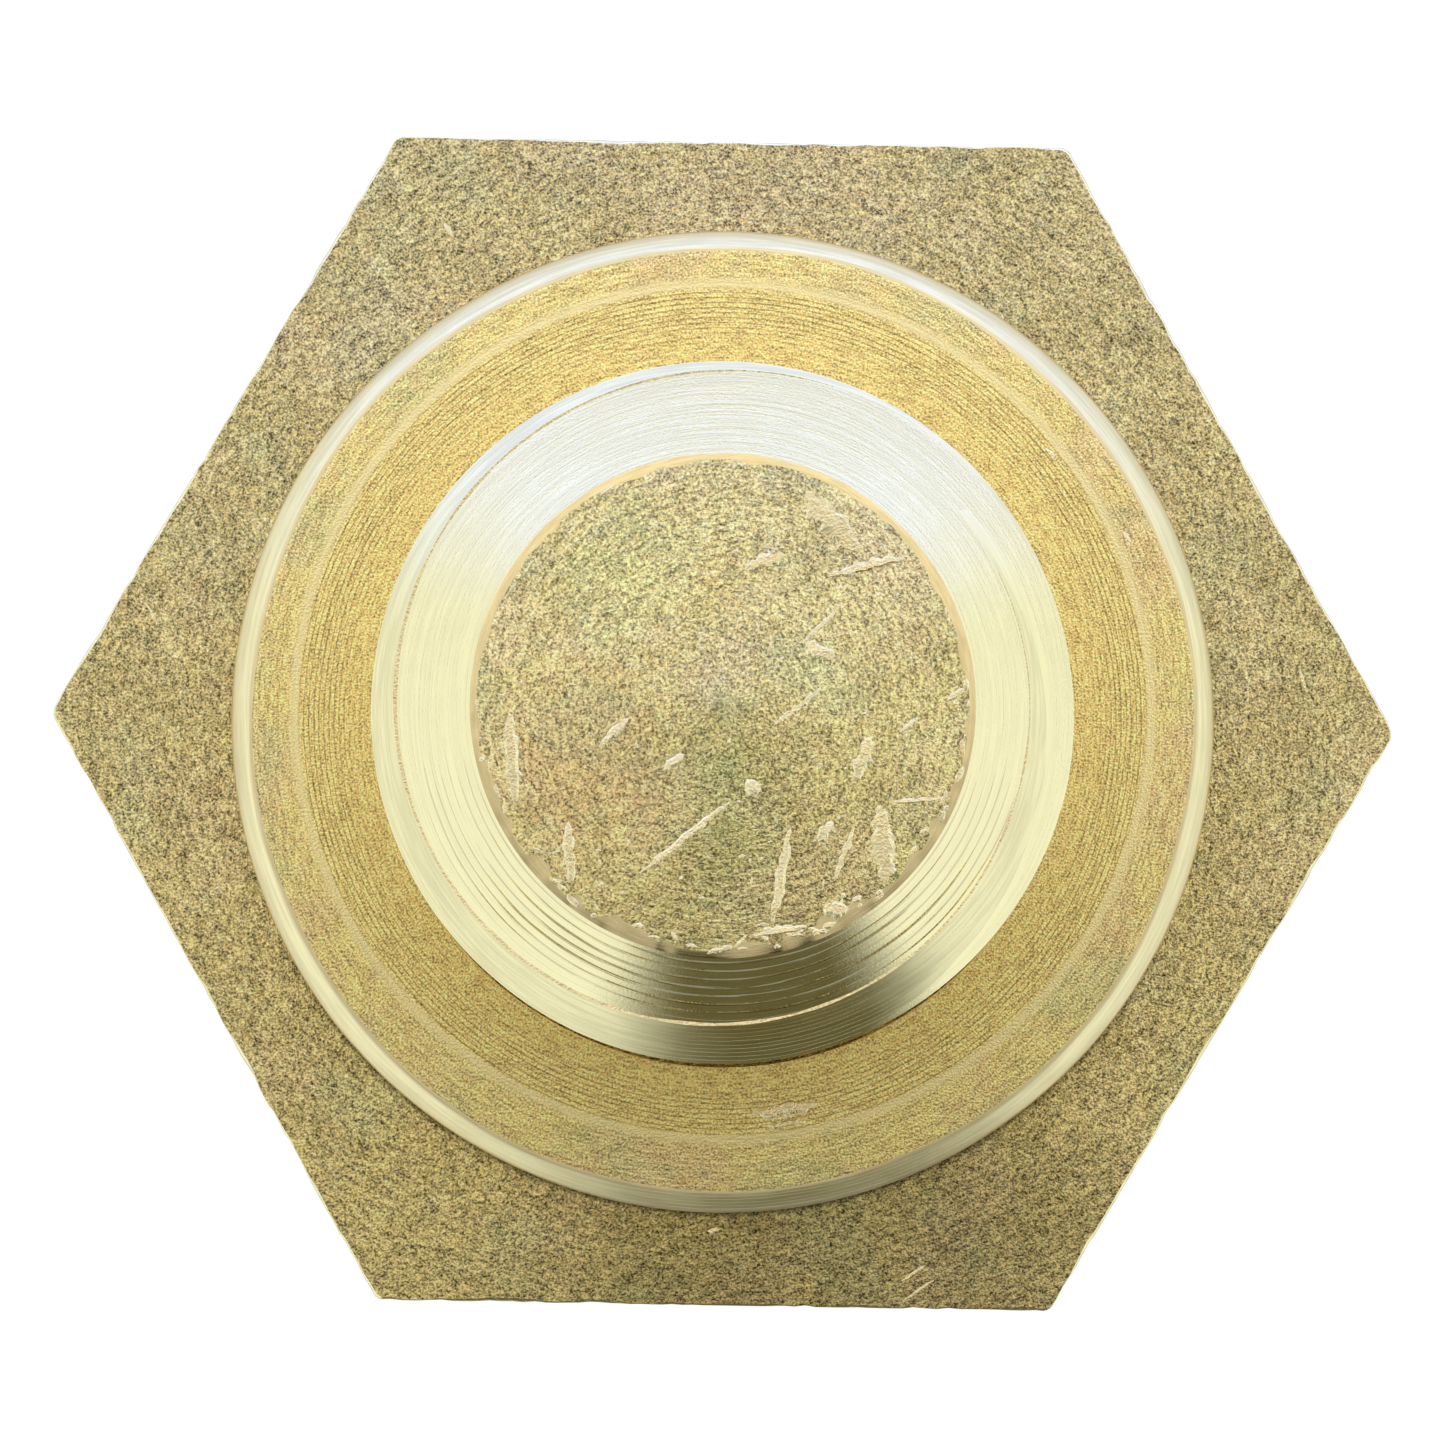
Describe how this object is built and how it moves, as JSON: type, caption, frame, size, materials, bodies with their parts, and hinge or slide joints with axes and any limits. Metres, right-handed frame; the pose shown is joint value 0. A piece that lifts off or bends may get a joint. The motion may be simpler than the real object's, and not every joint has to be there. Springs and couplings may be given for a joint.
{
  "type": "screw plug",
  "caption": "Brass hexagon-head screw plug with a parallel pipe thread and a loose sealing ring, for closing a threaded pipe port.",
  "frame": {"origin": "centre of the head's flat outer face, which the plug stands on", "axes": "+Z along the axis towards the end of the threaded shank, +X through a corner of the hexagon, +Y square to a flat"},
  "size_m": [0.0254, 0.022, 0.0145],
  "materials": {
    "body_brass": "turned, dull",
    "ring_brass": "fine turned"
  },
  "bodies": {
    "plug": {"plug_body": "body_brass"},
    "ring": {"sealing_ring": "ring_brass"}
  },
  "joints": [
    {"name": "ring_lift", "type": "slide", "parent": "plug", "child": "ring", "axis": [0, 0, 1], "range_m": [0, 0.0085]}
  ]
}
